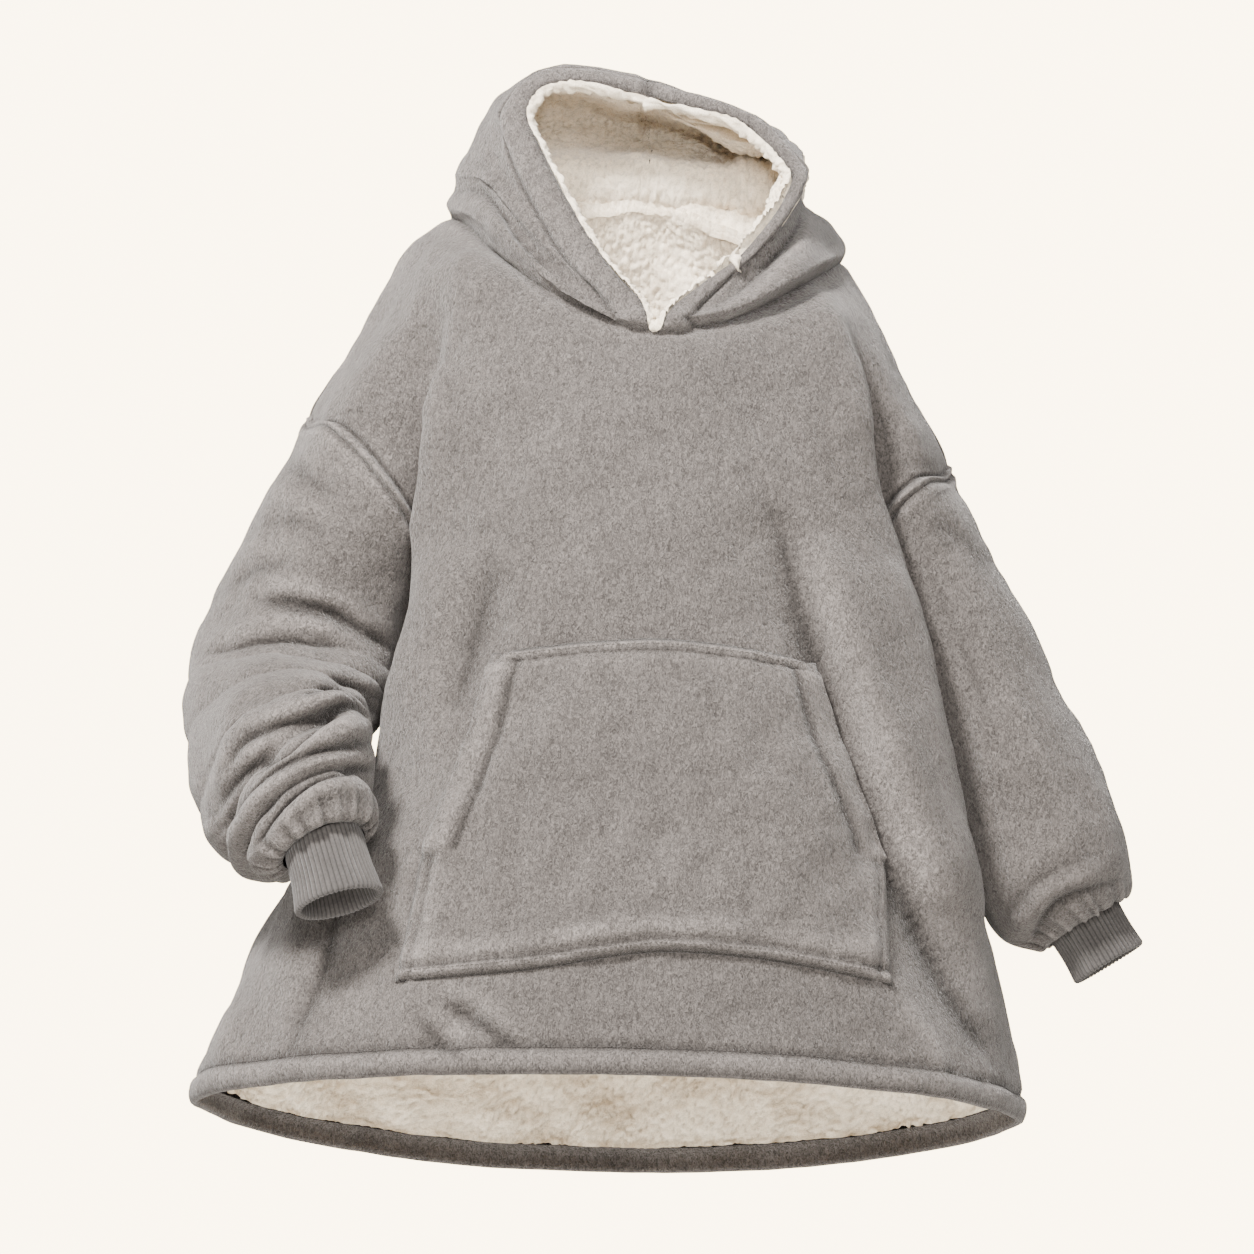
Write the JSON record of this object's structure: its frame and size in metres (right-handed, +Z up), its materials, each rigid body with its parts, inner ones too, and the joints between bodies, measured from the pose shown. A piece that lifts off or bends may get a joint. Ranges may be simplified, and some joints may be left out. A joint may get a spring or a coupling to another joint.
{
  "type": "wearable blanket hoodie",
  "caption": "Oversized hooded pullover blanket in brushed fleece, lined with curly pile, with wide sleeves, ribbed cuffs and a kangaroo pocket, held filled out as if worn.",
  "frame": {"origin": "middle of the neck opening, where the wearer's neck and shoulders hold the garment", "axes": "+Z up, the front faces -Y, +X to the viewer's right looking at the front"},
  "size_m": [0.9087, 0.4081, 1.0516],
  "materials": {
    "fleece": "brushed plush fleece, taupe grey",
    "sherpa": "curly sherpa pile, cream",
    "rib": "rib knit, grey"
  },
  "bodies": {
    "root": {"front_panel": "fleece", "back_panel": "fleece", "sleeve_left": "fleece", "sleeve_right": "fleece", "hood_left": "fleece", "hood_right": "fleece", "pocket": "fleece", "front_lining": "sherpa", "back_lining": "sherpa", "hood_left_lining": "sherpa", "hood_right_lining": "sherpa", "cuff_left": "rib", "cuff_right": "rib"}
  },
  "joints": []
}
